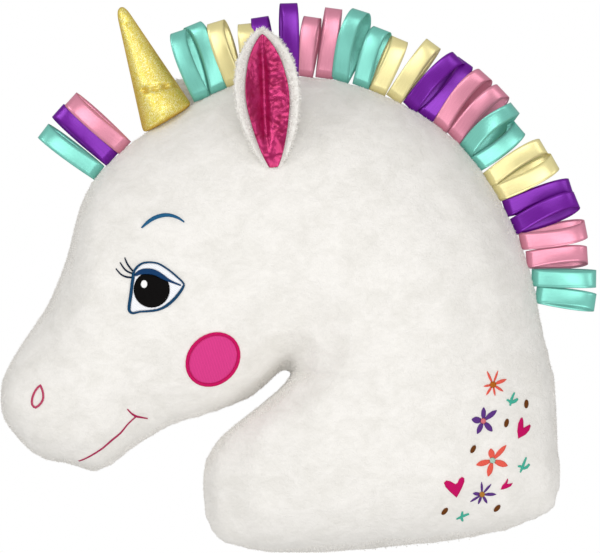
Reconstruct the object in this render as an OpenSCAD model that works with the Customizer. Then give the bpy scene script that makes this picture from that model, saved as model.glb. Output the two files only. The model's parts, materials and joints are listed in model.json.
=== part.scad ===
// Plush unicorn cushion: a head and neck in profile, lying on its right side.
// X runs from the muzzle to the back of the neck, Y from the bottom edge to the
// crown, and Z up from the surface that the cushion lies on. Millimetres.
// The origin is the middle of the flat that the cushion rests on.

/* [Cushion] */
// Width from the muzzle to the back of the neck
cushion_w = 374; // [310:1:450]
// Height from the bottom edge to the crown
cushion_h = 317; // [260:1:390]
// Height of the left panel above the seam where the cushion is fullest
dome_h = 58; // [52:0.5:70]
// How much of that fullness the flat underside gives up
press = 6; // [4:0.5:7]
// Thickness of the plush fabric
plush_t = 2.5; // [1.5:0.1:3]
// Clearance between the fabric and the filling
fill_gap = 0.6; // [0.5:0.1:1.5]

/* [Horn] */
// Length of the horn from its seam to its tip
horn_len = 78; // [60:1:95]
// Width of the horn's base along the seam
horn_w = 38; // [30:1:46]
// Thickness of the horn's glitter fabric
horn_t = 1.2; // [0.8:0.1:2]
// Clearance between the horn and the head
horn_gap = 0.8; // [0.6:0.1:2]

/* [Ears] */
// Length of an ear
ear_len = 93; // [76:1:115]
// Width of an ear
ear_w = 43; // [34:1:52]
// Thickness of an ear's plush back
ear_back_t = 4; // [2.5:0.1:4.5]
// Thickness of an ear's shiny lining
ear_lining_t = 1; // [0.6:0.1:1.2]
// Width of the plush border beside the lining
ear_border = 7; // [5:0.5:8]
// Clearance between an ear and the head
ear_gap = 0.8; // [0.6:0.1:1.2]

/* [Ribbon mane] */
// Width of the satin ribbon
ribbon_w = 11.5; // [9:0.1:14]
// Thickness of the satin ribbon
ribbon_t = 0.4; // [0.3:0.05:0.6]
// Space between neighbouring loops
ribbon_gap = 0.5; // [0.4:0.1:1.5]
// Height of a loop's opening
loop_open = 7; // [4:0.5:10]
// Clearance between a loop and the seam
loop_gap = 1.8; // [1.6:0.1:3]
// How far the last loops of the mane droop towards the back, in degrees
mane_droop = 10; // [0:1:12]
// Space between the horn and the first loop of the forelock
forelock_gap = 11; // [6:1:16]

/* [Embroidery] */
// How far the stitching stands above the plush
stitch_t = 0.8; // [0.5:0.1:1.2]
// Width of an outline in satin stitch
line_w = 1.8; // [1.2:0.1:2.4]
// Radius of the pupil
pupil_r = 12; // [10:0.1:12.5]

/* [Hidden] */
$fn = 32;
// Facets round the smallest stitched shapes
small_fn = 12;
seam_z = dome_h - press;
nominal_w = 374;
nominal_h = 317;
stretch = [cushion_w / nominal_w, cushion_h / nominal_h];
// Middle of the flat, at nominal size, which becomes the origin.
rest_at = [28, 2];

module rested() translate([-rest_at.x * stretch.x, -rest_at.y * stretch.y, 0]) children();

// Ribs of the cushion from the muzzle round to the bottom edge, at nominal size:
// forehead or back end x, y, then jaw or chest end x, y, then fullness as a
// share of dome_h, then how far the rib bows down.
ribs = [
    [-233, -37, -233, -50, 0, 0],
    [-230, -29, -231, -60, 0.22, 0],
    [-222, -14, -222, -72, 0.36, 0],
    [-212, 1, -212, -82, 0.47, 0],
    [-202, 16, -200, -88, 0.55, 0],
    [-195, 32, -186, -90, 0.62, 0],
    [-189, 48, -172, -95, 0.67, 0],
    [-185, 64, -158, -90, 0.72, 0],
    [-181, 80, -146, -80, 0.76, 0],
    [-173, 98, -133, -72, 0.78, 0],
    [-159, 114, -119, -64, 0.79, 0],
    [-137, 132, -93, -56, 0.80, 0],
    [-105, 151, -71, -48, 0.82, 0],
    [-80, 163, -59, -40, 0.84, 0],
    [-52, 169, -50, -31, 0.86, 0],
    [-12, 168, -43, -25, 0.91, 0],
    [32, 153, -39, -26, 0.96, 0],
    [72, 126, -38, -29, 0.99, 0],
    [98, 91, -41, -33, 1, 0],
    [114, 59, -48, -41, 1, 0],
    [124, 27, -67, -56, 1, 0],
    [129, 0, -87, -72, 1, 0],
    [137, -32, -97, -88, 0.98, 0],
    [139, -60, -99, -104, 0.92, 0],
    [140, -84, -98, -118, 0.83, 1],
    [141, -98, -96, -127, 0.71, 3],
    [140, -108, -93, -134, 0.54, 7],
    [139, -115, -90, -138, 0.32, 12],
    [137, -120, -87, -141, 0, 15]
];
rib_steps = 2;
rows = rib_steps * (len(ribs) - 1);
cols = 8;
fullness_power = 0.6;
rib_spacing = 8;

function smooth4(a, b, c, d, t) =
    0.5 * (2 * b + (c - a) * t + (2 * a - 5 * b + 4 * c - d) * t * t
        + (3 * b - a - 3 * c + d) * t * t * t);
function pick(list, k) = list[max(0, min(len(list) - 1, k))];
function along(list, s) =
    let (k = max(0, min(floor(s), len(list) - 2)))
    smooth4(pick(list, k - 1), list[k], list[k + 1], pick(list, k + 2), s - k);
function smooth_line(list, steps) =
    [for (k = [0 : steps * (len(list) - 1)]) along(list, k / steps)];

// The cushion's surface: s counts ribs from the muzzle, v runs from -1 at the
// jaw and chest to 1 at the forehead and back.
function half_rib(s) =
    let (r = along(ribs, s))
    [(r[0] - r[2]) / 2 * stretch.x, (r[1] - r[3]) / 2 * stretch.y];
function place(s, v) =
    let (r = along(ribs, s))
    [((r[0] + r[2]) / 2 + v * (r[0] - r[2]) / 2) * stretch.x,
     ((r[1] + r[3]) / 2 + v * (r[1] - r[3]) / 2 - r[5] * (1 - pow(v, 4))) * stretch.y];
function rise(s, v) =
    dome_h * max(0, along(ribs, s)[4]) * pow(max(0, 1 - v * v), fullness_power);
function across(j) = sin(90 * (2 * j / cols - 1));

// One point of the left (side 1) or right (side -1) surface, drawn in by inset
// from the seam and outer faces, and lifted by lift.
function skin_point(i, j, side, inset, lift) =
    let (
        e = inset / rib_spacing,
        s = e + (rows / rib_steps - 2 * e) * i / rows,
        p = place(s, across(j) * (1 - min(0.9, inset / norm(half_rib(s))))),
        h = rise(i / rib_steps, across(j)) * (1 - inset / dome_h)
    )
    [p.x, p.y, seam_z + side * (lift + (side > 0 ? h : min(h, seam_z - inset)))];
function skin(side, inset = 0, lift = 0, edge = 0) =
    [for (i = [edge : rows - edge], j = [edge : cols - edge])
        skin_point(i, j, side, inset, lift)];

// A closed solid between two sheets of points, n by m cells.
module between(upper, lower, n, m) {
    w = m + 1;
    low = (n + 1) * w;
    top_faces = [for (i = [0 : n - 1], j = [0 : m - 1]) each [
        [i * w + j, i * w + j + 1, (i + 1) * w + j + 1],
        [i * w + j, (i + 1) * w + j + 1, (i + 1) * w + j]]];
    low_faces = [for (f = top_faces) [f[2] + low, f[1] + low, f[0] + low]];
    rim = concat(
        [for (j = [0 : m - 1]) j], [for (i = [0 : n - 1]) i * w + m],
        [for (j = [m : -1 : 1]) n * w + j], [for (i = [n : -1 : 1]) i * w]);
    rim_faces = [for (k = [0 : len(rim) - 1])
        let (a = rim[k], b = rim[(k + 1) % len(rim)])
        each [[b, a, a + low], [b, a + low, b + low]]];
    polyhedron(concat(upper, lower), concat(rim_faces, low_faces, top_faces));
}

// A closed solid through a row of rings, flat at both ends.
module through_rings(rings) {
    m = len(rings[0]);
    sides = [for (k = [0 : len(rings) - 2], i = [0 : m - 1])
        let (a = k * m + i, b = k * m + (i + 1) % m)
        each [[a, a + m, b], [b, a + m, b + m]]];
    last = (len(rings) - 1) * m;
    caps = [[for (i = [0 : m - 1]) i], [for (i = [m - 1 : -1 : 0]) last + i]];
    polyhedron([for (ring = rings) each ring], concat(caps, sides));
}

// The crown seam as a path: distance from the muzzle, x, y.
seam_line = [for (i = [0 : rows]) place(i / rib_steps, 1)];
seam_run = [for (i = 0, d = 0; i <= rows;
    d = d + (i < rows ? norm(seam_line[i + 1] - seam_line[i]) : 0), i = i + 1) d];
seam_x = [for (i = [0 : rows]) [seam_run[i], seam_line[i].x]];
seam_y = [for (i = [0 : rows]) [seam_run[i], seam_line[i].y]];
function seam_at(d) = [lookup(d, seam_x), lookup(d, seam_y)];
tangent_step = 8;
function seam_normal(d) =
    let (t = seam_at(d + tangent_step) - seam_at(d - tangent_step)) atan2(t.y, t.x) + 90;

// ---- Panels and filling ----
panel_colour = "#f2f0ec";

module left_panel()
    color(panel_colour) between(skin(1), skin(1, plush_t), rows, cols);

module right_panel()
    color(panel_colour) between(skin(-1, plush_t), skin(-1), rows, cols);

module filling() {
    inset = plush_t + fill_gap;
    edge_h = 0.4;
    color("#ffffff")
        between(skin(1, inset, edge_h), skin(-1, inset, edge_h), rows, cols);
}

// Ladder stitches that close the opening in the bottom seam.
stitch_pitch = 7;
stitch_count = 11;
stitch_wire = 0.6;
stitch_span = 5;
closing_x = 20;

module closing_stitches() {
    bottom_s = len(ribs) - 1;
    half_w = norm(half_rib(bottom_s));
    color("#f7f5f0")
        for (k = [0 : stitch_count - 1]) {
            v = (closing_x + (k - (stitch_count - 1) / 2) * stitch_pitch) / half_w;
            p = place(bottom_s, v);
            translate([p.x, p.y - stitch_wire / 2 - 0.1, seam_z])
                cube([stitch_wire, stitch_wire, stitch_span], center = true);
        }
}

// ---- Horn ----
// Height up the horn, offset of its middle and half its width, as shares of
// horn_len and half horn_w.
horn_shape = [
    [0, -0.08, 0.98], [0.08, -0.05, 0.93], [0.16, -0.02, 0.86], [0.31, 0.06, 0.71],
    [0.46, 0.15, 0.62], [0.61, 0.25, 0.52], [0.76, 0.33, 0.4], [0.87, 0.39, 0.28],
    [0.94, 0.45, 0.2], [1, 0.47, 0.14]
];
horn_depth = 0.8;
horn_sides = 20;
horn_share = 0.316;
horn_d = horn_share * seam_run[rows];

function horn_ring(k, inset) =
    let (q = horn_shape[k], half = max(0.6, q[2] * horn_w / 2 - inset))
    [for (a = [0 : horn_sides - 1]) let (t = 360 * a / horn_sides) [
        q[1] * horn_w / 2 + half * cos(t),
        min(q[0] * horn_len, horn_len - inset),
        half * horn_depth * sin(t)]];
function horn_rings(inset) = [for (k = [0 : len(horn_shape) - 1]) horn_ring(k, inset)];
function backwards(list) = [for (k = [len(list) - 1 : -1 : 0]) list[k]];

module on_horn_seat() {
    p = seam_at(horn_d);
    translate([p.x, p.y, seam_z])
        rotate([0, 0, seam_normal(horn_d) - 90])
            translate([0, horn_gap, 0])
                children();
}

module horn_cover()
    color("#e3cb2e") on_horn_seat()
        through_rings(concat(backwards(horn_rings(horn_t)), horn_rings(0)));

module horn_filling()
    color("#ffffff") on_horn_seat()
        through_rings(horn_rings(horn_t + fill_gap));

// ---- Ears ----
// Half width up the ear, as shares of ear_len and half ear_w.
ear_shape = [
    [0, 0.26], [0.12, 0.56], [0.3, 0.85], [0.46, 0.98], [0.62, 0.98], [0.78, 0.83],
    [0.9, 0.53], [0.97, 0.24], [1, 0.06]
];
// The left ear stands up; the right one flops forward.
ear_lean = 5;
right_ear_lean = 51;
ear_rib = 14.03;
ear_share = 0.385;
ear_steps = 3;

module ear_leaf(border) {
    side = [for (q = smooth_line(ear_shape, ear_steps)) [
        max(0.5, q[1] * ear_w / 2 - border * min(1, q[1] + 0.1)),
        q[0] * (ear_len - border * 0.6)]];
    polygon(concat(side, [for (q = backwards(side)) [-q.x, q.y]]));
}

module on_ear_seat(side) {
    p = place(ear_rib, ear_share);
    translate([p.x, p.y, seam_z + side * (rise(ear_rib, ear_share) + ear_gap)])
        mirror([0, 0, side > 0 ? 0 : 1])
            rotate([0, 0, side > 0 ? ear_lean : right_ear_lean])
                children();
}

module ear_back(side)
    color(panel_colour) on_ear_seat(side)
        linear_extrude(ear_back_t) ear_leaf(0);

module ear_lining(side)
    color("#c2186e") on_ear_seat(side)
        translate([0, 0, ear_back_t]) linear_extrude(ear_lining_t) ear_leaf(ear_border);

// ---- Ribbon loops ----
teal = ["teal", "#62c4ae"];
yellow = ["yellow", "#f3e6a0"];
purple = ["purple", "#7a0fa0"];
pink = ["pink", "#d67f94"];
mane_order = [
    teal, yellow, purple, pink, teal, yellow, purple, pink, teal, yellow, purple,
    pink, teal
];
// Length of each loop of the mane from the crown to the neck, two to a colour.
mane_lengths = [
    47, 47, 43, 38, 41, 49, 40, 47, 48, 40, 39, 46, 46, 45, 46, 45, 43, 37, 43, 44,
    46, 45, 44, 40, 43, 40
];
forelock = [[pink, 49], [purple, 49], [teal, 47]];
loop_root = 0.6;
loop_points = 12;
loop_pitch = ribbon_w + ribbon_gap;

// Half of the loop's outline seen from its edge, x along the loop.
function loop_curve(length, root, open) =
    [for (k = [-loop_points : loop_points]) let (a = 90 * k / loop_points) [
        length * pow(max(0, cos(a)), 0.8), root * sin(a) + open / 2 * sin(2 * a)]];

module ribbon_loop(length) {
    outer = loop_curve(length, loop_root + ribbon_t / 2, loop_open + ribbon_t);
    inner = loop_curve(length - ribbon_t, loop_root - ribbon_t / 2, loop_open - ribbon_t);
    rotate([90, 0, 0])
        linear_extrude(ribbon_w, center = true)
            polygon(concat(outer, backwards(inner)));
}

module loop_on_seam(d, angle, length) {
    p = seam_at(d);
    translate([p.x, p.y, seam_z]) rotate([0, 0, angle]) translate([loop_gap, 0, 0])
        ribbon_loop(length);
}

mane_start = horn_d + horn_w / 2 + ribbon_gap + ribbon_w / 2;
function mane_d(k) = mane_start + k * loop_pitch;
function pair_angle(k) =
    seam_normal(mane_d(2 * k + 0.5)) - mane_droop * pow(k / (len(mane_order) - 1), 2);
mane_names = [for (k = [0 : len(mane_order) - 1])
    str("mane_", k + 1, "_", mane_order[k][0])];

module mane_pair(k)
    color(mane_order[k][1])
        for (n = [2 * k, 2 * k + 1])
            loop_on_seam(mane_d(n), pair_angle(k), mane_lengths[n]);

function forelock_d(k) =
    horn_d - horn_w / 2 - forelock_gap - ribbon_w / 2 - k * loop_pitch;
forelock_names = [for (f = forelock) str("forelock_", f[0][0])];

module forelock_loop(k) {
    d = forelock_d(k);
    color(forelock[k][0][1]) loop_on_seam(d, seam_normal(d), forelock[k][1]);
}

// ---- Embroidery ----
// Outlines are drawn at nominal size in the seam plane, stretched with the
// cushion, and kept to a thin layer on one panel.
module stitched(side) {
    upper = side > 0 ? skin(1, 0, stitch_t, 1) : skin(-1, 0, 0, 1);
    lower = side > 0 ? skin(1, 0, 0, 1) : skin(-1, 0, stitch_t, 1);
    resize([0, 0, 0])
        intersection() {
            between(upper, lower, rows - 2, cols - 2);
            translate([0, 0, side > 0 ? seam_z : 0])
                linear_extrude(side > 0 ? 2 * dome_h : seam_z)
                    scale([stretch.x, stretch.y]) children();
        }
}

// A line of stitches through points, each with its half width as a third number.
module stroke(points, steps = 4) {
    path = smooth_line(points, steps);
    last = len(path) - 1;
    edge = [for (k = [0 : last])
        let (
            t = pick(path, k + 1) - pick(path, k - 1),
            n = [-t.y, t.x] / norm([t.x, t.y]) * path[k][2]
        )
        [[path[k].x + n.x, path[k].y + n.y], [path[k].x - n.x, path[k].y - n.y]]];
    polygon(concat([for (e = edge) e[0]], [for (e = backwards(edge)) e[1]]));
}

// Points whose third number is the line's width as a share of line_w.
function wide(points) = [for (p = points) [p.x, p.y, p[2] * line_w / 2]];

pupil_at = [-131.4, 27];
upper_lid = [
    [-143.3, 39, 0.9], [-141, 42, 0.9], [-138, 44.2, 0.75], [-134.5, 45, 0.7],
    [-131, 45, 0.65], [-127, 44.2, 0.65], [-123, 42, 0.65], [-119, 39.2, 0.65],
    [-115, 35.8, 0.65], [-111.5, 32.6, 0.65], [-109.8, 30.3, 0.65]
];
lower_lid = [
    [-109.8, 30.3, 0.65], [-111.2, 27.3, 1], [-113.7, 23.8, 1.05], [-117, 20, 1.1],
    [-121.5, 16.2, 1.05], [-126, 13.9, 0.85], [-130.5, 12.9, 0.85], [-135, 12.5, 0.7],
    [-139.5, 12.2, 0.7], [-142.5, 11.4, 0.75], [-145, 11.6, 0.9], [-146.4, 13.8, 1.15],
    [-146, 18.5, 1.15], [-145, 25, 1.2], [-144.3, 31, 1.2], [-143.6, 36, 1.2],
    [-143.3, 39, 1]
];

module eye_opening()
    polygon(concat(smooth_line(upper_lid, 2), smooth_line(lower_lid, 2)) * [
        [1, 0], [0, 1], [0, 0]]);
module pupil_disc()
    translate(pupil_at) circle(pupil_r);
module glint_spot()
    translate(pupil_at + [-5, 3.6]) scale([0.82, 1]) circle(2.7, $fn = small_fn);
module lid_shade()
    stroke([[-142.6, 36.3, 0.7], [-139.5, 38.2, 1.6], [-135.5, 39, 1.9], [-131, 38.7, 1.9],
            [-127.5, 37.4, 1.7], [-124, 35.3, 1.5], [-120.5, 33.2, 1], [-116.5, 31.4, 0.6],
            [-112, 29.7, 0.5]], 2);
module eye_line() {
    stroke(wide(upper_lid), 2);
    stroke(wide(lower_lid), 2);
}

module eye_white(side)
    color("#f4f2f8") stitched(side)
        difference() {
            eye_opening();
            pupil_disc();
            lid_shade();
            eye_line();
        }

module eye_pupil(side)
    color("#17161c") stitched(side)
        difference() {
            intersection() {
                pupil_disc();
                eye_opening();
            }
            glint_spot();
            lid_shade();
            eye_line();
        }

module eye_glint(side)
    color("#ffffff") stitched(side) glint_spot();

module eye_shade(side)
    color("#1d4f86") stitched(side)
        difference() {
            lid_shade();
            eye_line();
        }

module eye_outline(side)
    color("#1b5a88") stitched(side) eye_line();

module eyelashes(side)
    color("#12304e") stitched(side)
        difference() {
            union() {
                stroke([[-143.8, 39.2, 0.6], [-146.4, 42.2, 0.6], [-148.2, 45.2, 0.55],
                        [-149.3, 48.2, 0.4]], 2);
                stroke([[-144.2, 37.6, 0.6], [-147.4, 38.9, 0.6], [-150, 41.2, 0.55],
                        [-152.4, 45, 0.4]], 2);
                stroke([[-144.3, 34.9, 0.6], [-148, 35.3, 0.65], [-151.8, 37, 0.55],
                        [-155.2, 40.9, 0.4]], 2);
            }
            eye_opening();
            eye_line();
        }

module eyebrow(side)
    color("#23608c") stitched(side)
        stroke([[-138.2, 67.8, 0.5], [-134.5, 71.3, 1.1], [-130, 74.3, 1.3],
                [-125, 76, 1.35], [-120, 76.3, 1.2], [-115, 74.9, 0.95],
                [-111.5, 72.9, 0.65], [-109.9, 71.5, 0.4]], 2);

cheek_at = [-91, -19.5];
cheek_line = 1.2 * line_w;
module cheek_shape()
    translate(cheek_at) rotate(45) scale([1, 0.85]) circle(19.7);

module cheek_patch(side)
    color("#dd3e8c") stitched(side) offset(delta = -cheek_line) cheek_shape();

module cheek_border(side)
    color("#c91962") stitched(side)
        difference() {
            cheek_shape();
            offset(delta = -cheek_line) cheek_shape();
        }

nostril_line = [
    [-205.2, -35.9], [-203.6, -39.5], [-202.9, -44.5], [-204.6, -48.9], [-208.8, -52.2],
    [-211.8, -49.8], [-211.8, -45], [-209.5, -39.6], [-206.5, -36.4], [-205.2, -35.9]
];

module nostril_shape() polygon(smooth_line(nostril_line, 2));

module nostril(side)
    color("#d04070") stitched(side)
        difference() {
            nostril_shape();
            offset(delta = -0.8 * line_w) nostril_shape();
        }

module mouth(side)
    color("#c8316a") stitched(side) {
        stroke(wide([[-186, -88.6, 0.3], [-180, -87.2, 0.45], [-173.5, -84.3, 0.55],
                     [-165, -79, 0.6], [-158, -73, 0.65], [-152.5, -68.5, 0.6],
                     [-148.5, -63.5, 0.55], [-145, -60, 0.5], [-142.3, -57.6, 0.5]]), 2);
        stroke(wide([[-147.8, -52.4, 0.5], [-145.5, -55, 0.6], [-142.5, -57.2, 0.85],
                     [-139, -58, 0.65], [-134.5, -58.9, 0.45]]), 2);
    }

// Neck flowers: centre, radius of the eye, then the petals: direction, length
// from the centre, half width.
coral_flowers = [
    [[94.5, -36], 2.2, [[114, 9.8, 0.8], [70, 10, 0.7], [21, 9.7, 1.2], [-33, 8.3, 0.9],
                        [-79, 7.6, 0.7], [237, 8.3, 0.8], [190, 6.3, 0.8]]],
    [[94.3, -86.3], 2, [[99, 8, 2.1], [48, 13.6, 1.6], [-20, 10.7, 2.1], [255, 11, 1.9],
                        [195, 11.2, 1.9]]]
];
purple_flowers = [
    [[88, -60], 1.9, [[88, 9, 1.6], [38, 11.4, 1.7], [-49, 9.2, 1.9], [245, 9.4, 1.7],
                      [172, 7.8, 2.2]]],
    [[87.5, -109], 1.9, [[93, 8.5, 0.8], [49, 9.2, 0.8], [0, 9.5, 1.1], [-60, 7, 1],
                         [249, 7, 0.9], [212, 9.4, 0.8], [173, 6.2, 1.2]]]
];
// Hearts: the tip, then the outline round from its left edge.
hearts = [
    [[111.5, -72], [110.8, -67], [111.4, -62], [113, -58.5], [114.3, -57.8], [115, -60],
     [115.1, -64.8], [117, -63.8], [119.3, -62.6], [120, -63.6], [119, -66.5],
     [116.6, -69.3]],
    [[70.5, -111], [66, -107], [63, -103.7], [61.9, -101], [63.5, -99.4], [66, -99.8],
     [69.6, -101.9], [71, -101], [72, -98.5], [74, -97], [75.5, -98], [75.6, -100.2],
     [74.2, -104], [72.2, -108]],
    [[99.8, -105.8], [101, -103], [103, -101], [104.4, -98.4], [104.9, -99.6],
     [104.2, -102], [106, -101.9], [108, -101.4], [106.8, -103.6], [104, -105],
     [101.4, -105.8]]
];
// Sprigs: strokes of x, y and half width.
sprigs = [
    [[106, -50, 0.6], [107, -45.6, 0.9], [109, -41.3, 0.5]],
    [[106.5, -48.4, 0.6], [105, -46.6, 0.8], [103.6, -46.2, 0.5]],
    [[106.6, -48.2, 0.7], [109.2, -47, 1.2], [111.3, -45.4, 0.6]],
    [[113, -94.5, 0.5], [115, -89.6, 0.9], [117, -84.5, 0.5]],
    [[114.3, -91, 0.6], [112.8, -90.4, 0.8], [111.3, -90.4, 0.5]],
    [[114.4, -92, 0.7], [117.2, -91.2, 1], [119.2, -89, 0.6]],
    [[70.6, -125.6, 0.5], [74.4, -123.8, 0.9], [79, -122, 0.6]],
    [[74.4, -124.4, 0.9], [74.3, -122.4, 0.9], [74.6, -120.4, 0.5]],
    [[73.6, -124.2, 0.7], [74.3, -125.6, 0.9], [74.8, -127.2, 0.5]]
];
// Seeds: centre, turn.
seeds = [[[117, -49], -3], [[103.6, -61.5], -15], [[81.3, -78.7], -30],
         [[62.7, -120.2], -40], [[97.7, -118.5], -42]];

module petals(f)
    translate(f[0])
        for (p = f[2])
            rotate(p[0])
                stroke([[0.1 * p[1], 0, 0.35 * p[2]], [0.42 * p[1], 0, 0.95 * p[2]],
                        [0.75 * p[1], 0, 0.9 * p[2]], [p[1], 0, 0.15 * p[2]]], 2);

module flowers(list)
    for (f = list)
        difference() {
            petals(f);
            translate(f[0]) circle(f[1], $fn = small_fn);
        }

module coral_petals(side)
    color("#f0685c") stitched(side) flowers(coral_flowers);

module purple_petals(side)
    color("#6b3fa8") stitched(side) flowers(purple_flowers);

module flower_centres(side)
    color("#c87038") stitched(side)
        for (f = concat(coral_flowers, purple_flowers))
            translate(f[0]) circle(f[1], $fn = small_fn);

module neck_hearts(side)
    color("#d81b7c") stitched(side)
        for (h = hearts) polygon(h);

module neck_sprigs(side)
    color("#3fc4b0") stitched(side)
        for (s = sprigs) stroke(s, 2);

module neck_seeds(side)
    color("#8a5428") stitched(side)
        for (s = seeds)
            translate(s[0]) rotate(s[1]) scale([0.52, 1]) circle(3, $fn = small_fn);

// ---- Assembly ----
face_names = [
    "eye_white", "eye_pupil", "eye_glint", "eye_shade", "eye_outline", "eyelashes",
    "eyebrow", "cheek_patch", "cheek_border", "nostril", "mouth"
];
neck_names = [
    "coral_petals", "purple_petals", "flower_centres", "neck_hearts", "neck_sprigs",
    "neck_seeds"
];

rested() left_panel();
rested() right_panel();
rested() filling();
rested() closing_stitches();
rested() horn_cover();
rested() horn_filling();
rested() ear_back(1);  // left_ear_back
rested() ear_lining(1);  // left_ear_lining
rested() ear_back(-1);  // right_ear_back
rested() ear_lining(-1);  // right_ear_lining
for (k = [0 : len(forelock) - 1])
    rested() forelock_loop(k);
for (k = [0 : len(mane_order) - 1])
    rested() mane_pair(k);
for (side = [1, -1]) {
    name = side > 0 ? "left_" : "right_";
    rested() eye_white(side);
    rested() eye_pupil(side);
    rested() eye_glint(side);
    rested() eye_shade(side);
    rested() eye_outline(side);
    rested() eyelashes(side);
    rested() eyebrow(side);
    rested() cheek_patch(side);
    rested() cheek_border(side);
    rested() nostril(side);
    rested() mouth(side);
    rested() coral_petals(side);
    rested() purple_petals(side);
    rested() flower_centres(side);
    rested() neck_hearts(side);
    rested() neck_sprigs(side);
    rested() neck_seeds(side);
}
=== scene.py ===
import json
import math

import bmesh
import bpy
from mathutils import Matrix, Vector, noise
from mathutils.bvhtree import BVHTree
from mathutils.kdtree import KDTree


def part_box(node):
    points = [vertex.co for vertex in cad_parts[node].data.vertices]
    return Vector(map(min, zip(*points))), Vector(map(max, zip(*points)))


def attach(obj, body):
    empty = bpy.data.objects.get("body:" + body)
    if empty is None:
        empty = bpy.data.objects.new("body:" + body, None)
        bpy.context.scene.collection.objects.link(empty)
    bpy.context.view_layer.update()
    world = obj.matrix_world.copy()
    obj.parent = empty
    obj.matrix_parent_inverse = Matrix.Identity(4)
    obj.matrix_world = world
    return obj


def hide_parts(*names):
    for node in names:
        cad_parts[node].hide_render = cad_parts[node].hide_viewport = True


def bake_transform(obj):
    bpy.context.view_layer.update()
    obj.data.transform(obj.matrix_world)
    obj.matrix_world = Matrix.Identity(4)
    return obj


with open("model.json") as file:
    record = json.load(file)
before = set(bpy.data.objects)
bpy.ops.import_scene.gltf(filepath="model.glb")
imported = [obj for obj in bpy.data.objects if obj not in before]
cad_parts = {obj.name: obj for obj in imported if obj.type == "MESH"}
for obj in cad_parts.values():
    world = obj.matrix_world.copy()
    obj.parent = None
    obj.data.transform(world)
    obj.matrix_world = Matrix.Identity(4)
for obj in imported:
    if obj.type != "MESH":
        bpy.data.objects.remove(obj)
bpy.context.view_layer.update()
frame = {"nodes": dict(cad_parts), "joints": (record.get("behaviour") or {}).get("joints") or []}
nodes = frame["nodes"]
joints = {joint["child"]: joint for joint in frame["joints"]}
scene = bpy.context.scene
mm = 0.001


# small helpers

def hexColour(text):
    parts = [int(text[i:i + 2], 16) / 255 for i in (1, 3, 5)]
    return [c / 12.92 if c < 0.04045 else ((c + 0.055) / 1.055) ** 2.4 for c in parts] + [1]


def addNode(tree, kind, settings={}, inputs={}, links={}):
    node = tree.nodes.new(kind)
    for key, value in settings.items():
        setattr(node, key, value)
    for key, value in inputs.items():
        node.inputs[key].default_value = value
    for key, (source, output) in links.items():
        tree.links.new(source.outputs[output], node.inputs[key])
    return node


def newMaterial(name, inputs):
    material = bpy.data.materials.new(name)
    material.use_nodes = True
    tree = material.node_tree
    shader = tree.nodes["Principled BSDF"]
    for key, value in inputs.items():
        shader.inputs[key].default_value = value
    return material, tree, shader


def newObject(name, bm, material=None):
    mesh = bpy.data.meshes.new(name)
    bm.to_mesh(mesh)
    bm.free()
    mesh.polygons.foreach_set("use_smooth", [True] * len(mesh.polygons))
    obj = bpy.data.objects.new(name, mesh)
    bpy.context.collection.objects.link(obj)
    if material:
        mesh.materials.append(material)
    return obj


def applyModifiers(obj):
    bpy.context.view_layer.update()
    graph = bpy.context.evaluated_depsgraph_get()
    mesh = bpy.data.meshes.new_from_object(obj.evaluated_get(graph))
    obj.modifiers.clear()
    old = obj.data
    mesh.name = old.name
    obj.data = mesh
    bpy.data.meshes.remove(old)
    return obj


def copyNodes(names):
    bm = bmesh.new()
    for name in names:
        bm.from_mesh(nodes[name].data)
    bmesh.ops.remove_doubles(bm, verts=bm.verts, dist=1e-6)
    return bm


def voxelRemesh(obj, size):
    modifier = obj.modifiers.new("remesh", "REMESH")
    modifier.mode = "VOXEL"
    modifier.voxel_size = size
    modifier.use_smooth_shade = True
    return applyModifiers(obj)


def subdivide(obj, levels):
    modifier = obj.modifiers.new("subdivide", "SUBSURF")
    modifier.levels = levels
    modifier.render_levels = levels
    return applyModifiers(obj)


def keepBiggestIsland(obj):
    bm = bmesh.new()
    bm.from_mesh(obj.data)
    left = set(bm.verts)
    islands = []
    while left:
        island = set()
        todo = [left.pop()]
        while todo:
            vert = todo.pop()
            island.add(vert)
            for edge in vert.link_edges:
                other = edge.other_vert(vert)
                if other in left:
                    left.discard(other)
                    todo.append(other)
        islands.append(island)
    def spread(island):
        xs = [v.co.x for v in island]
        return max(xs) - min(xs)
    islands.sort(key=spread)
    for island in islands[:-1]:
        bmesh.ops.delete(bm, geom=list(island), context="VERTS")
    bm.to_mesh(obj.data)
    bm.free()


def smoothStep(low, high, value):
    t = min(1, max(0, (value - low) / (high - low)))
    return t * t * (3 - 2 * t)


# seam line, read from the rim of the left panel

def readSeam():
    bm = copyNodes(["left_panel"])
    low = min(v.co.z for v in bm.verts)
    ring = {f for f in bm.faces if all(abs(v.co.z - low) < 1e-5 for v in f.verts)}
    near = {}
    for edge in bm.edges:
        if sum(f in ring for f in edge.link_faces) == 1:
            a, b = edge.verts
            near.setdefault(a, []).append(b)
            near.setdefault(b, []).append(a)
    loops = []
    while near:
        vert = next(iter(near))
        loop = []
        while vert in near:
            loop.append(vert.co.copy())
            options = [v for v in near.pop(vert) if v in near]
            if options:
                vert = options[0]
        loops.append(loop)
    bm.free()
    return max(loops, key=lambda loop: max(p.x for p in loop) - min(p.x for p in loop))


seam = readSeam()
seamZ = seam[0].z
seamTree = KDTree(8 * len(seam))
seamDense = []
for i, a in enumerate(seam):
    b = seam[(i + 1) % len(seam)]
    for k in range(8):
        seamDense.append(a.lerp(b, k / 8))
for i, p in enumerate(seamDense):
    seamTree.insert(p, i)
seamTree.balance()
print("seam read,", len(seam), "points")


# materials

def addBump(tree, shader, height, output, strength, distance):
    bump = addNode(tree, "ShaderNodeBump", inputs={"Strength": strength, "Distance": distance},
                   links={"Height": (height, output)})
    tree.links.new(bump.outputs["Normal"], shader.inputs["Normal"])
    return bump


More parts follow.
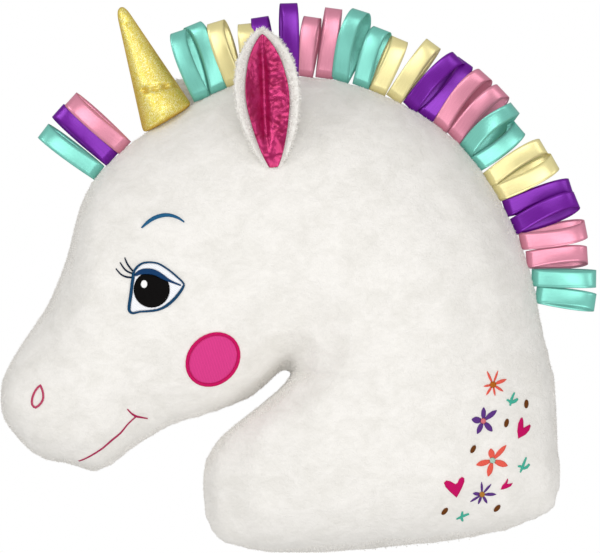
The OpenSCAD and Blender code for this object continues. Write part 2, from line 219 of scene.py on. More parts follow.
def plushMaterial(name, napped):
    # short polyester minky: matt, with the pile brushed about in soft streaks
    material, tree, shader = newMaterial(name, {
        "Base Color": hexColour("#ece9e4"), "Roughness": 0.95, "Sheen Weight": 0.25,
        "Sheen Roughness": 0.5, "Specular IOR Level": 0.1})
    if not napped:
        return material
    place = addNode(tree, "ShaderNodeTexCoord")
    turn = addNode(tree, "ShaderNodeMapping",
                   inputs={"Rotation": (0, 0, -0.7), "Scale": (1, 1.25, 1)},
                   links={"Vector": (place, "Object")})
    streaks = addNode(tree, "ShaderNodeTexNoise",
                      inputs={"Scale": 55, "Detail": 6, "Roughness": 0.65, "Distortion": 0.5},
                      links={"Vector": (turn, "Vector")})
    # painted shade: the streak tone drops to the darker grey where the streak noise is low, where the bump
    # also dips
    tone = addNode(tree, "ShaderNodeValToRGB", links={"Fac": (streaks, "Fac")})
    tone.color_ramp.elements[0].position = 0.34
    tone.color_ramp.elements[0].color = hexColour("#e3e0da")
    tone.color_ramp.elements[1].position = 0.6
    tone.color_ramp.elements[1].color = hexColour("#ece9e4")
    tree.links.new(tone.outputs["Color"], shader.inputs["Base Color"])
    pile = addNode(tree, "ShaderNodeTexNoise",
                   inputs={"Scale": 210, "Detail": 5, "Roughness": 0.75, "Distortion": 1.2},
                   links={"Vector": (turn, "Vector")})
    both = addNode(tree, "ShaderNodeMath", settings={"operation": "MULTIPLY_ADD"},
                   inputs={1: 1.1}, links={0: (streaks, "Fac"), 2: (pile, "Fac")})
    addBump(tree, shader, both, "Value", 0.5, 1.6 * mm)
    return material


def satinMaterial(name, face, shade):
    # polyester satin ribbon: smooth floats give a soft bright band across the weave
    material, tree, shader = newMaterial(name, {
        "Metallic": 0.45, "Roughness": 0.3, "Specular IOR Level": 0.6,
        "Anisotropic": 0.5})
    uv = addNode(tree, "ShaderNodeUVMap")
    stretch = addNode(tree, "ShaderNodeMapping", inputs={"Scale": (3, 90, 1)},
                      links={"Vector": (uv, "UV")})
    threads = addNode(tree, "ShaderNodeTexNoise", inputs={"Scale": 4, "Detail": 2},
                      links={"Vector": (stretch, "Vector")})
    # painted shade: the weave streaks mix the ribbon's own colour with a darker shaded copy, darker where
    # the weave bump dips
    tone = addNode(tree, "ShaderNodeValToRGB", links={"Fac": (threads, "Fac")})
    tone.color_ramp.elements[0].position = 0.25
    tone.color_ramp.elements[0].color = hexColour(shade)
    tone.color_ramp.elements[1].position = 0.6
    tone.color_ramp.elements[1].color = hexColour(face)
    tree.links.new(tone.outputs["Color"], shader.inputs["Base Color"])
    addBump(tree, shader, threads, "Fac", 0.1, 0.3 * mm)
    return material


def glitterMaterial():
    # glitter fabric: flakes about 1 mm across, each tipped its own way
    material, tree, shader = newMaterial("goldGlitterFabric", {
        "Metallic": 0.6, "Roughness": 0.42})
    place = addNode(tree, "ShaderNodeTexCoord")
    flakes = addNode(tree, "ShaderNodeTexVoronoi", inputs={"Scale": 2300},
                     links={"Vector": (place, "Object")})
    # flake colours run from deep gold to near white: the gold is the fabric's own, the near-white flakes
    # are painted glints
    tone = addNode(tree, "ShaderNodeValToRGB", links={"Fac": (flakes, "Color")})
    tone.color_ramp.elements[0].position = 0.1
    tone.color_ramp.elements[0].color = hexColour("#d9bc30")
    tone.color_ramp.elements[1].position = 0.9
    tone.color_ramp.elements[1].color = hexColour("#fffad2")
    middle = tone.color_ramp.elements.new(0.55)
    middle.color = hexColour("#ecdc66")
    # painted shade: the colour is multiplied toward deeper yellow where the horn's surface turns away from
    # the camera
    facing = addNode(tree, "ShaderNodeLayerWeight", inputs={"Blend": 0.35})
    edge = addNode(tree, "ShaderNodeValToRGB", links={"Fac": (facing, "Facing")})
    edge.color_ramp.elements[0].position = 0.12
    edge.color_ramp.elements[0].color = (1, 1, 1, 1)
    edge.color_ramp.elements[1].position = 0.6
    edge.color_ramp.elements[1].color = hexColour("#f0d25a")
    both = addNode(tree, "ShaderNodeMix",
                   settings={"data_type": "RGBA", "blend_type": "MULTIPLY"})
    both.inputs[0].default_value = 1
    tree.links.new(tone.outputs["Color"], both.inputs[6])
    tree.links.new(edge.outputs["Color"], both.inputs[7])
    tree.links.new(both.outputs[2], shader.inputs["Base Color"])
    addBump(tree, shader, flakes, "Color", 0.5, 0.3 * mm)
    return material


def liningMaterial():
    # foiled stretch satin: smooth and shiny, with fine creases
    material, tree, shader = newMaterial("magentaLame", {
        "Metallic": 0.5, "Roughness": 0.27})
    place = addNode(tree, "ShaderNodeTexCoord")
    crease = addNode(tree, "ShaderNodeTexNoise",
                     inputs={"Scale": 90, "Detail": 4, "Distortion": 1.5},
                     links={"Vector": (place, "Object")})
    # painted shade: the lining darkens where the crease noise is low, the same noise that sinks the
    # creases' bump
    tone = addNode(tree, "ShaderNodeValToRGB", links={"Fac": (crease, "Fac")})
    tone.color_ramp.elements[0].position = 0.35
    tone.color_ramp.elements[0].color = hexColour("#960a48")
    tone.color_ramp.elements[1].position = 0.6
    tone.color_ramp.elements[1].color = hexColour("#a81a5c")
    tree.links.new(tone.outputs["Color"], shader.inputs["Base Color"])
    addBump(tree, shader, crease, "Fac", 0.4, 1 * mm)
    return material


stitchLook = {
    "rim": 0.25 * mm, "roll": 0.8 * mm, "sink": 0.8 * mm,
    "waveScale": 0.314 / mm,  # one thread to the millimetre
}


def threadMaterial(name, colour, angle):
    # rayon embroidery thread: 0.4 mm threads drawn 1 mm wide so that they show
    material, tree, shader = newMaterial(name, {
        "Roughness": 0.6, "Specular IOR Level": 0.08})
    place = addNode(tree, "ShaderNodeTexCoord")
    turn = addNode(tree, "ShaderNodeMapping", inputs={"Rotation": (0, 0, math.radians(angle))},
                   links={"Vector": (place, "Object")})
    rows = addNode(tree, "ShaderNodeTexWave", settings={"wave_profile": "SIN"},
                   inputs={"Scale": stitchLook["waveScale"], "Distortion": 1.5, "Detail": 1},
                   links={"Vector": (turn, "Vector")})
    # painted shade: the thread's colour drops to 0.8 of its own in the grooves between the wave rows,
    # which the bump also sinks
    tone = addNode(tree, "ShaderNodeValToRGB", links={"Fac": (rows, "Fac")})
    base = hexColour(colour)
    tone.color_ramp.elements[0].position = 0.0
    tone.color_ramp.elements[0].color = [c * 0.8 for c in base[:3]] + [1]
    tone.color_ramp.elements[1].position = 0.7
    tone.color_ramp.elements[1].color = base
    tree.links.new(tone.outputs["Color"], shader.inputs["Base Color"])
    addBump(tree, shader, rows, "Fac", 0.5, 0.4 * mm)
    return material


def banded(material, low, high, bands):
    # one thread colour for each band of height, from low to high
    tree = material.node_tree
    place = addNode(tree, "ShaderNodeTexCoord")
    split = addNode(tree, "ShaderNodeSeparateXYZ", links={"Vector": (place, "Object")})
    share = addNode(tree, "ShaderNodeMapRange", inputs={"From Min": low, "From Max": high},
                    links={"Value": (split, "Y")})
    ramp = addNode(tree, "ShaderNodeValToRGB", links={"Fac": (share, "Result")})
    ramp.color_ramp.interpolation = "CONSTANT"
    ramp.color_ramp.elements.remove(ramp.color_ramp.elements[1])
    for k, (start, colour) in enumerate(bands):
        stop = ramp.color_ramp.elements[0]
        if k:
            stop = ramp.color_ramp.elements.new((start - low) / (high - low))
        stop.color = hexColour(colour)
    shader = tree.nodes["Principled BSDF"]
    tree.links.new(ramp.outputs["Color"], shader.inputs["Base Color"])


plush = plushMaterial("polyesterPlush", True)
pileFibre = plushMaterial("polyesterPile", False)
glitter = glitterMaterial()
lame = liningMaterial()
# each satin: the ribbon's own colour, then a darker copy used as painted shade in the weave streaks
satins = {
    "teal": satinMaterial("tealSatin", "#82d2c4", "#68bdac"),
    "yellow": satinMaterial("yellowSatin", "#f4e8ac", "#e2d488"),
    "purple": satinMaterial("purpleSatin", "#7a08a8", "#560478"),
    "pink": satinMaterial("roseSatin", "#e698ae", "#cc7690"),
}


# cushion cover: voxel copy of the CAD solids, stuffed by cloth pressure

coverLook = {
    "voxel": 4 * mm,
    "pressure": 4,
    "frames": 20,
    "cap": 6 * mm,       # furthest a point may move
    "crease": [(-68 * mm, -31 * mm), (-8 * mm, -29 * mm)],  # fold from the throat
    "creaseDepth": 4 * mm,
    "creaseWidth": 2.6 * mm,
    "lumps": 1.1 * mm,
}


def stuffCover(obj):
    group = obj.vertex_groups.new(name="sewn")
    pinned = [v.index for v in obj.data.vertices if seamTree.find(v.co)[2] < 6 * mm]
    group.add(pinned, 1, "REPLACE")
    before = [v.co.copy() for v in obj.data.vertices]
    modifier = obj.modifiers.new("stuffing", "CLOTH")
    cloth = modifier.settings
    cloth.use_pressure = True
    cloth.uniform_pressure_force = coverLook["pressure"]
    cloth.effector_weights.gravity = 0
    cloth.vertex_group_mass = "sewn"
    cloth.tension_stiffness = 15
    cloth.bending_stiffness = 0.6
    for step in range(1, coverLook["frames"] + 1):
        scene.frame_set(step)
    applyModifiers(obj)
    scene.frame_set(1)
    for vert, old in zip(obj.data.vertices, before):
        move = vert.co - old
        if move.length > coverLook["cap"]:
            vert.co = old + move * coverLook["cap"] / move.length


def distanceToLine(p, line):
    a, b = Vector(line[0]), Vector(line[1])
    t = max(0, min(1, (p - a).dot(b - a) / (b - a).length_squared))
    return (p - a.lerp(b, t)).length, t


def finishCover(obj):
    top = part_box("left_panel")[1].z
    for vert in obj.data.vertices:
        p = vert.co
        away = seamTree.find(p)[2]
        side = 1 if p.z > seamZ else -1
        gap, t = distanceToLine(p.xy, coverLook["crease"])
        fold = coverLook["creaseDepth"] * math.exp(-(gap / coverLook["creaseWidth"]) ** 2) * (1 - t) ** 0.7
        p.z -= side * fold * smoothStep(0, 4 * mm, away)
        lump = noise.noise(p * 22) + 0.5 * noise.noise(p * 60)
        p.z += side * coverLook["lumps"] * lump * smoothStep(0, 20 * mm, away)
        p.z = max(0.4 * mm, min(top + 3 * mm, p.z))


coverBm = copyNodes(["left_panel", "right_panel", "filling"])
cover = newObject("plushCover", coverBm, plush)
voxelRemesh(cover, coverLook["voxel"])
keepBiggestIsland(cover)
stuffCover(cover)
subdivide(cover, 1)
finishCover(cover)
cover.data.materials.clear()
cover.data.materials.append(plush)
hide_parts("left_panel", "right_panel", "filling")
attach(cover, "cushion")
print("cover stuffed,", len(cover.data.polygons), "faces")

coverBm = bmesh.new()
coverBm.from_mesh(cover.data)
coverTree = BVHTree.FromBMesh(coverBm)
coverBm.free()


def coverHeight(x, y, side):
    start = Vector((x, y, seamZ + side * 0.2))
    hit = coverTree.ray_cast(start, Vector((0, 0, -side)))
    return hit[0].z if hit[0] else None


# embroidery: each CAD patch laid again on the stuffed cover, padded like satin stitch

threads = {
    # colour, direction of the stitches, height in mm, finest edge in mm
    "eye_white": ("#f6f7fb", 60, 0.6, 1.2), "eye_pupil": ("#040202", 90, 0.7, 1.2),
    "eye_glint": ("#ffffff", 0, 0.9, 0.7), "eye_shade": ("#143c68", 90, 0.9, 0.6),
    "eye_outline": ("#154468", 40, 1.2, 0.5), "eyelashes": ("#10243c", 20, 1, 0.4),
    "eyebrow": ("#235f88", 80, 1.1, 0.6), "cheek_patch": ("#de3f8c", 10, 0.5, 1.5),
    "cheek_border": ("#cc1060", 60, 1.2, 0.6), "nostril": ("#c04668", 30, 1, 0.5),
    "mouth": ("#b02456", 40, 0.8, 0.4), "coral_petals": ("#ea5f50", 20, 0.9, 0.6),
    "purple_petals": ("#5e3684", 70, 0.9, 0.6), "flower_centres": ("#c87038", 0, 1.2, 0.6),
    "neck_hearts": ("#c80c62", 50, 1, 0.8), "neck_sprigs": ("#48b49c", 30, 0.9, 0.5),
    "neck_seeds": ("#6a3a12", 10, 1, 0.6),
}
stitchPoints = {1: [], -1: []}


def embroider(node, side, material, height, finest):
    bm = copyNodes([node])
    bm.normal_update()
    walls = [f for f in bm.faces if f.normal.z * side < 0.3]
    bmesh.ops.delete(bm, geom=walls, context="FACES")
    bmesh.ops.dissolve_limit(bm, angle_limit=math.radians(1), verts=bm.verts, edges=bm.edges)
    bmesh.ops.triangulate(bm, faces=bm.faces)
    for _ in range(7):
        long = [e for e in bm.edges if e.calc_length() > finest * mm]
        if not long:
            break
        bmesh.ops.subdivide_edges(bm, edges=long, cuts=1)
        bmesh.ops.triangulate(bm, faces=bm.faces)
    rim = [v for v in bm.verts if v.is_boundary]
    rimTree = KDTree(len(rim))
    for i, vert in enumerate(rim):
        rimTree.insert((vert.co.x, vert.co.y, 0), i)
    rimTree.balance()
    for vert in bm.verts:
        p = vert.co
        ground = coverHeight(p.x, p.y, side)
        if ground is None:
            ground = p.z
        away = rimTree.find((p.x, p.y, 0))[2]
        swell = min(1, away / stitchLook["roll"])
        lift = stitchLook["rim"] + (height * mm - stitchLook["rim"]) * math.sqrt(
            1 - (1 - swell) ** 2)
        p.z = ground + side * lift
        if side < 0:
            p.z = max(0.1 * mm, p.z)
        stitchPoints[side].append((p.x, p.y))
    grown = bmesh.ops.extrude_face_region(bm, geom=bm.faces[:])
    low = [g for g in grown["geom"] if isinstance(g, bmesh.types.BMVert)]
    for vert in low:
        vert.co.z = max(0.05 * mm, vert.co.z - side * stitchLook["sink"])
    bmesh.ops.recalc_face_normals(bm, faces=bm.faces)
    piece = newObject("stitched_" + node, bm, material)
    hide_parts(node)
    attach(piece, "cushion")
    return piece


for part, (colour, angle, height, finest) in threads.items():
    thread = threadMaterial("thread_" + part, colour, angle)
    embroider("left_" + part, 1, thread, height, finest)
    embroider("right_" + part, -1, thread, height, finest)
    if part == "flower_centres":
        banded(thread, -120 * mm, -30 * mm, [(-120 * mm, "#b07830"), (-100 * mm, "#a8c8b8"),
                                             (-75 * mm, "#d07078"), (-50 * mm, "#b06018")])
print("embroidery laid")


# closing stitches along the bottom seam stay as CAD, in white thread

closingThread = threadMaterial("thread_closing", "#f5f3ee", 0)
nodes["closing_stitches"].data.materials.clear()
nodes["closing_stitches"].data.materials.append(closingThread)


# horn: a leaning cone, gathered above its base and hooked at its tip

hornLook = {
    "rings": 20,
    "foot": -3,            # mm, below the seat
    "length": 78.8,
    "halfWidth": (18.6, 3.2),  # at the base and the tip
    "middle": (-1.5, 9),   # the same, for the middle line
    "depthShare": 0.87,
    "tipRound": 2.4,
    "segments": 40,
    "gather": (20.6 * mm, -0.36, 1.7 * mm, 3.2 * mm),  # height, slope, width, depth
    "hook": (68 * mm, 2.2 * mm, 1.2 * mm),
}


def seatMatrix(joint):
    across = Vector(joint["axis"]).normalized()
    along = Vector((-across.y, across.x, 0))
    return Matrix((
        (across.x, along.x, 0, joint["pos_m"][0]),
        (across.y, along.y, 0, joint["pos_m"][1]),
        (0, 0, 1, joint["pos_m"][2]),
        (0, 0, 0, 1)))


def loft(rings, segments):
    bm = bmesh.new()
    circle = bmesh.ops.create_circle(bm, segments=segments, radius=1)["verts"]
    edges = bm.edges[:]
    angles = {v: math.atan2(v.co.y, v.co.x) for v in circle}
    def lay(verts, ring):
        height, offset, width, depth = (n * mm for n in ring)
        for v in verts:
            a = angles[v]
            v.co = (offset + width * math.cos(a), height, depth * math.sin(a))
    lay(circle, rings[0])
    bmesh.ops.contextual_create(bm, geom=edges)
    for ring in rings[1:]:
        grown = bmesh.ops.extrude_edge_only(bm, edges=edges)["geom"]
        verts = [g for g in grown if isinstance(g, bmesh.types.BMVert)]
        edges = [g for g in grown if isinstance(g, bmesh.types.BMEdge)]
        for v in verts:
            partner = next(e.other_vert(v) for e in v.link_edges if e.other_vert(v) in angles
                           and e.other_vert(v) not in verts)
            angles[v] = angles[partner]
        edges = [e for e in edges if all(v in verts for v in e.verts)]
        lay(verts, ring)
    bmesh.ops.contextual_create(bm, geom=edges)
    bmesh.ops.recalc_face_normals(bm, faces=bm.faces)
    return bm


def hornRings():
    rings = []
    for k in range(hornLook["rings"]):
        h = hornLook["foot"] + (hornLook["length"] - hornLook["foot"]) * k / (hornLook["rings"] - 1)
        share = max(0, h / hornLook["length"])
        wide, narrow = hornLook["halfWidth"]
        start, end = hornLook["middle"]
        past = max(0, h - hornLook["length"] + hornLook["tipRound"]) / hornLook["tipRound"]
        cap = max(0.6, math.sqrt(1 - past * past))
        half = (wide + (narrow - wide) * share) * cap
        tuck = 0.75 + 0.25 * smoothStep(hornLook["foot"], 4, h)
        rings.append((h, start + (end - start) * share, half, half * hornLook["depthShare"] * tuck))
    return rings


def makeHorn():
    joint = joints["horn"]
    seat = seatMatrix(joint)
    horn = newObject("glitterHorn", loft(hornRings(), hornLook["segments"]), glitter)
    subdivide(horn, 2)
    height, slope, width, depth = hornLook["gather"]
    hookAt, hookWidth, hookDepth = hornLook["hook"]
    for v in horn.data.vertices:
        p = v.co
        face = 1 if p.z > 0 else -1
        pucker = math.exp(-((p.y - height - slope * p.x) / width) ** 2)
        wave = 0.75 + 0.35 * math.sin(p.x / (1.1 * mm)) + 0.5 * noise.noise(p * 300)
        fade = min(1, abs(p.z) / (8 * mm))
        p.z -= face * fade * depth * pucker * wave
        kink = math.exp(-((p.y - hookAt) / hookWidth) ** 2)
        p.z -= face * fade * hookDepth * kink
        p.z += face * fade * 0.7 * mm * noise.noise(Vector((p.x * 90, p.y * 40, face)))
    horn.data.transform(seat)
    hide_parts("horn_cover", "horn_filling")
    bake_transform(horn)


makeHorn()
print("horn made")


# ears: cupped plush leaves with a creased lame lining

earLook = {
    "voxel": 1.8 * mm,
    "liningVoxel": 1.1 * mm,
    "liningStretch": 4,
    "halfWidth": 21.5 * mm,
    "cup": {1: 12 * mm, -1: 0.4 * mm},  # the right ear is pressed flat
    "foldAt": -4.5 * mm,
    "steep": 1.35,        # how much steeper the front half stands
    "border": 1.8 * mm,   # plush stands this much above the lining
    "crease": 1 * mm,
}


def bendEar(obj, seat, side, inner):
    back = seat.inverted()
    spots = [back @ p for p in inner]
    tree = KDTree(len(spots))
    for i, p in enumerate(spots):
        tree.insert((p.x, p.y, 0), i)
    tree.balance()
    cup = earLook["cup"][side]
    scale = 1 if side > 0 else 0.3
    for v in obj.data.vertices:
        p = back @ v.co
        h = p.y
        away = tree.find((p.x, p.y, 0))[2]
        if obj.data.materials[0] == plush and p.z * side > 0:
            p.z += side * scale * earLook["border"] * smoothStep(0.8 * mm, 3.5 * mm, away)
        foldX = earLook["foldAt"] + 0.05 * h
        u = (p.x - foldX) / earLook["halfWidth"]
        rise = smoothStep(0, 32 * mm, h) * (1 - 0.45 * smoothStep(60 * mm, 95 * mm, h))
        steep = earLook["steep"] if u < 0 else 1
        dish = (u * u / (0.1 + abs(u))) * steep - 0.3
        if obj.data.materials[0] == lame:
            wave = noise.noise(Vector((p.x * 160, h * 35, 3))) + 0.3 * noise.noise(p * 380)
            p.z += side * scale * earLook["crease"] * (0.6 + 0.7 * wave) * smoothStep(0, 8 * mm, h)
            p.z += side * 0.5 * mm
        dish -= 0.12 * math.exp(-((p.x - foldX) / (2.2 * mm)) ** 2)
        p.z += side * cup * dish * rise
        # sewn base dips into the cover
        p.z -= side * scale * 4 * mm * (1 - smoothStep(-2 * mm, 10 * mm, h))
        if side < 0:
            p.z = max(p.z, 0.2 * mm - seat.translation.z)
        v.co = seat @ p


def makeEar(side, name):
    joint = joints[name]
    seat = seatMatrix(joint)
    if side < 0:  # the right hinge's axis points the other way
        seat = seat @ Matrix.Diagonal((-1, -1, 1, 1))
    backPiece = newObject(name + "Back", copyNodes([name + "_back"]), plush)
    voxelRemesh(backPiece, earLook["voxel"])
    subdivide(backPiece, 1)

    bm = copyNodes([name + "_lining"])
    low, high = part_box(name + "_lining")
    base = low.z if side > 0 else high.z
    for v in bm.verts:
        v.co.z = base + (v.co.z - base) * earLook["liningStretch"]
    lining = newObject(name + "Lining", bm, lame)
    voxelRemesh(lining, earLook["liningVoxel"])
    for v in lining.data.vertices:
        v.co.z = base + (v.co.z - base) / earLook["liningStretch"] - side * 0.1 * mm
    subdivide(lining, 1)
    inner = [v.co.copy() for v in lining.data.vertices]
    for piece, node, slot, fabric in ((backPiece, "_back", "plush_white", plush),
                                      (lining, "_lining", "ear_satin", lame)):
        piece.data.materials.clear()
        piece.data.materials.append(fabric)
        bendEar(piece, seat, side, inner)
        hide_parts(name + node)
    return backPiece, lining, seat


def blendEar(piece):
    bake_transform(piece)


ears = {side: makeEar(side, name) for side, name in ((1, "left_ear"), (-1, "right_ear"))}
for side, name in ((1, "left_ear"), (-1, "right_ear")):
    blendEar(ears[side][0])
    blendEar(ears[side][1])
print("ears made")


# ribbon loops, each a strip folded back on itself and sewn into the seam

ribbonLook = {
    "width": 11.6 * mm,
    "thickness": 0.3 * mm,
    "steps": 44,
    "across": 6,
    "root": 0.7 * mm,
    # angle in the seam plane, length, opening, skew of the back strand, twist, lift; mm, degrees
    "mane": [
        (109, 48, 8, 7, 16, 2), (112, 48, 8, -8, -14, -3), (107, 44, 8, 5, 10, 1), (96, 38, 9, 3, 10, 0),
        (99, 41, 8, 2, 5, -1), (91, 49, 8, -3, -10, 1), (82, 40, 8, 3, 8, 0), (82, 47, 9, -2, -8, 1),
        (73, 49, 12, 11, 20, 1), (69, 41, 8, 6, 6, -1), (67, 39, 8, -3, -6, 0), (54, 46, 8, 3, 9, 1),
        (45, 47, 9, 8, 18, 3), (54, 46, 8, -7, -14, -3), (49, 47, 10, 10, 18, -1), (44, 46, 9, 8, 14, 1),
        (41, 44, 16, 12, 34, 3), (40, 38, 9, -6, -16, -3), (31, 44, 8, 6, 12, 0), (29, 45, 9, -6, -12, 1),
        (18, 47, 8, 5, 10, -1), (23, 46, 8, 7, 14, 2), (11, 45, 9, -6, -12, 0), (4, 41, 8, 5, 10, -1),
        (-1, 43, 9, -2, -6, 1), (-8, 40, 8, 3, 8, 0)],
    "forelock": {"pink": (138, 49, 9, 3, 9, 1), "purple": (138, 49, 8, -3, -8, -1),
                 "teal": (143, 47, 9, 3, 9, 0)},
    "pitch": 12 * mm,
}


def addLoop(bm, base, look):
    angle, length, opening, skew, twist, lift = look
    length, opening, skew, lift = length * mm, opening * mm, skew * mm, lift * mm
    grid = bmesh.ops.create_grid(bm, x_segments=ribbonLook["steps"], y_segments=ribbonLook["across"],
                                 size=1, calc_uvs=True)["verts"]
    root = ribbonLook["root"]
    a = math.radians(angle)
    turn = Matrix.Rotation(a, 3, "Z")
    for v in grid:
        phi = v.co.x * math.pi / 2
        side = v.co.y
        w = length * max(0, math.cos(phi)) ** 0.8
        share = w / length
        z = root * math.sin(phi) + opening / 2 * math.sin(2 * phi)
        t = side * ribbonLook["width"] / 2
        t += skew * math.sin(phi) * share
        bow = 0.5 * mm * (1 - side * side) * (1 if phi > 0 else -1) * math.sin(2 * abs(phi))
        ang = math.radians(twist) * share
        t, z = t * math.cos(ang) - z * math.sin(ang), t * math.sin(ang) + z * math.cos(ang)
        z += bow + lift * smoothStep(0, 0.6, share)
        w -= 0.6 * mm
        v.co = base + turn @ Vector((w, t, z))
    return grid


def makeRibbon(name, node, colour, loops):
    bm = bmesh.new()
    bm.loops.layers.uv.new("UVMap")
    for base, look in loops:
        addLoop(bm, base, look)
    total = 0
    for face in bm.faces:
        total += face.calc_area()
    ribbon = newObject(name, bm, satins[colour])
    modifier = ribbon.modifiers.new("thickness", "SOLIDIFY")
    modifier.thickness = ribbonLook["thickness"]
    modifier.offset = 0
    applyModifiers(ribbon)
    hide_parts(node)
    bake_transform(ribbon)


def seamNear(p):
    return Vector(seamTree.find(p)[0])


maneNodes = sorted((n for n in nodes if n.startswith("mane_")), key=lambda n: int(n.split("_")[1]))
for k, node in enumerate(maneNodes):
    body = node + "_loops"
    joint = joints[body]
    axis = Vector(joint["axis"])
    middle = Vector(joint["pos_m"])
    pair = []
    for n, sign in ((2 * k, -1), (2 * k + 1, 1)):
        base = seamNear(middle + axis * sign * ribbonLook["pitch"] / 2)
        pair.append((base, ribbonLook["mane"][n]))
    makeRibbon("maneRibbon_%02d" % (k + 1), node, node.split("_")[2], pair)
for colour, look in ribbonLook["forelock"].items():
    node = "forelock_" + colour
    joint = joints[node + "_loop"]
    makeRibbon("forelockRibbon_" + colour, node, colour,
               [(seamNear(Vector(joint["pos_m"])), look)])
print("ribbons folded")


# pile: short tapered blades scattered on the cover and ears

pileLook = {
    "density": 1.1e6,        # blades to the square metre
    "earDensity": 8e5,
    "earScale": 2,           # the ears' pile is this much longer
    "length": 1.3 * mm,
    "width": 0.4 * mm,
    "lean": 1.0,
    "liningGap": 1.8 * mm,   # no blades this near the lining
    "stitchGap": 2 * mm,
    "flatBelow": 3.5 * mm,   # pile is pressed away where the cushion rests
    "steepest": 0.45,        # blades only where the cover turns away from the top
}


def makeBlade():
    bm = bmesh.new()
    grid = bmesh.ops.create_grid(bm, x_segments=1, y_segments=2, size=0.5)["verts"]
    for v in grid:
        h = v.co.y + 0.5
        v.co = (v.co.x * pileLook["width"] * (1 - 0.75 * h), 0.5 * mm * h * h,
                h * pileLook["length"] - 0.4 * mm)
    return newObject("bladeShape", bm, pileFibre)


def growPile(source, name, density, seed, blade, scale=1):
    tree = bpy.data.node_groups.new(name, "GeometryNodeTree")
    tree.interface.new_socket("Geometry", in_out="INPUT", socket_type="NodeSocketGeometry")
    tree.interface.new_socket("Geometry", in_out="OUTPUT", socket_type="NodeSocketGeometry")
    start = addNode(tree, "NodeGroupInput")
    points = addNode(tree, "GeometryNodeDistributePointsOnFaces",
                     inputs={"Density": density, "Seed": seed}, links={"Mesh": (start, "Geometry")})
    shape = addNode(tree, "GeometryNodeObjectInfo", inputs={"Object": blade})
    lean = pileLook["lean"]
    tilt = addNode(tree, "FunctionNodeRandomValue", settings={"data_type": "FLOAT_VECTOR"})
    tilt.inputs[0].default_value = (-lean, -lean, -math.pi)
    tilt.inputs[1].default_value = (lean, lean, math.pi)
    tilt.inputs["Seed"].default_value = seed + 1
    euler = addNode(tree, "FunctionNodeEulerToRotation")
    tree.links.new(tilt.outputs[0], euler.inputs[0])
    rotate = addNode(tree, "FunctionNodeRotateRotation", settings={"rotation_space": "LOCAL"})
    tree.links.new(points.outputs["Rotation"], rotate.inputs[0])
    tree.links.new(euler.outputs[0], rotate.inputs[1])
    size = addNode(tree, "FunctionNodeRandomValue", settings={"data_type": "FLOAT"})
    size.inputs[2].default_value = 0.55 * scale
    size.inputs[3].default_value = 1.15 * scale
    size.inputs["Seed"].default_value = seed + 2
    place = addNode(tree, "GeometryNodeInstanceOnPoints",
                    links={"Points": (points, "Points"), "Instance": (shape, "Geometry")})
    tree.links.new(rotate.outputs[0], place.inputs["Rotation"])
    tree.links.new(size.outputs[1], place.inputs["Scale"])
    real = addNode(tree, "GeometryNodeRealizeInstances", links={"Geometry": (place, "Instances")})
    end = addNode(tree, "NodeGroupOutput")
    tree.links.new(real.outputs[0], end.inputs[0])
    pile = newObject(name, source, pileFibre)
    modifier = pile.modifiers.new("pile", "NODES")
    modifier.node_group = tree
    applyModifiers(pile)
    bpy.data.node_groups.remove(tree)
    pile.data.materials.clear()
    pile.data.materials.append(pileFibre)
    pile.data.polygons.foreach_set("use_smooth", [True] * len(pile.data.polygons))
    return pile


def stitchTree(side):
    tree = KDTree(len(stitchPoints[side]))
    for i, (x, y) in enumerate(stitchPoints[side]):
        tree.insert((x, y, 0), i)
    tree.balance()
    return tree


stitchTrees = {side: stitchTree(side) for side in (1, -1)}
blade = makeBlade()

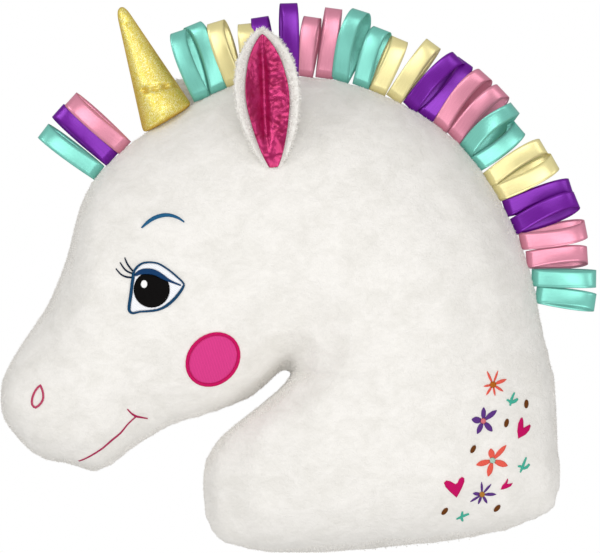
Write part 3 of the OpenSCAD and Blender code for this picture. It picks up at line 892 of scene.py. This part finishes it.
bm = bmesh.new()
bm.from_mesh(cover.data)
bm.normal_update()
bare = []
for face in bm.faces:
    p = face.calc_center_median()
    side = 1 if p.z > seamZ else -1
    stitched = stitchTrees[side].find((p.x, p.y, 0))[2] < pileLook["stitchGap"]
    flat = p.z < pileLook["flatBelow"] or abs(face.normal.z) > pileLook["steepest"]
    if stitched or flat:
        bare.append(face)
bmesh.ops.delete(bm, geom=bare, context="FACES")
coverPile = growPile(bm, "coverPile", pileLook["density"], 11, blade)
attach(coverPile, "cushion")
for side, name in ((1, "left_ear"), (-1, "right_ear")):
    backPiece, lining, seat = ears[side]
    bm = bmesh.new()
    bm.from_mesh(backPiece.data)
    liningTree = KDTree(len(lining.data.vertices))
    for i, v in enumerate(lining.data.vertices):
        liningTree.insert(v.co, i)
    liningTree.balance()
    bare = []
    for face in bm.faces:
        p = face.calc_center_median()
        covered = liningTree.find(p)[2] < pileLook["liningGap"]
        if covered or (side < 0 and p.z < pileLook["flatBelow"]):
            bare.append(face)
    bmesh.ops.delete(bm, geom=bare, context="FACES")
    earPile = growPile(bm, name + "Pile", pileLook["earDensity"], 23 + side, blade,
                       pileLook["earScale"])
    blendEar(earPile)
bpy.data.objects.remove(blade)
print("pile grown")


# light and camera

stageLook = {"ambient": 0.52, "viewWidth": 0.4005, "height": 5.0,
             "look": (-61.3 * mm, 33.6 * mm)}

world = bpy.data.worlds.new("studio")
scene.world = world
world.use_nodes = True
worldTree = world.node_tree
path = addNode(worldTree, "ShaderNodeLightPath")
strength = addNode(worldTree, "ShaderNodeMath", settings={"operation": "MULTIPLY_ADD"},
                   inputs={1: 1 - stageLook["ambient"], 2: stageLook["ambient"]},
                   links={0: (path, "Is Camera Ray")})
worldTree.nodes["Background"].inputs["Color"].default_value = (1, 1, 1, 1)
worldTree.links.new(strength.outputs[0], worldTree.nodes["Background"].inputs["Strength"])


def addLight(name, place, size, power):
    light = bpy.data.lights.new(name, "AREA")
    light.shape = "SQUARE"
    light.size = size
    light.energy = power
    obj = bpy.data.objects.new(name, light)
    bpy.context.collection.objects.link(obj)
    obj.location = place
    obj.rotation_euler = (-Vector(place)).to_track_quat("-Z", "Y").to_euler()


addLight("topBox", (-0.05, 0.25, 1.5), 0.9, 7.4)
addLight("leftBox", (-1.2, 0.5, 1.0), 0.6, 5.2)
addLight("rightBox", (1.1, 0.3, 1.1), 0.6, 3)
addLight("lowBox", (0.2, -1.2, 0.9), 0.7, 5.6)

camera = bpy.data.cameras.new("camera")
camera.sensor_width = 36
camera.lens = 36 * (stageLook["height"] - seamZ) / stageLook["viewWidth"]
camera.clip_end = 50
cameraObject = bpy.data.objects.new("camera", camera)
cameraObject.location = (*stageLook["look"], stageLook["height"])
bpy.context.collection.objects.link(cameraObject)
scene.camera = cameraObject
scene.view_settings.view_transform = "Standard"
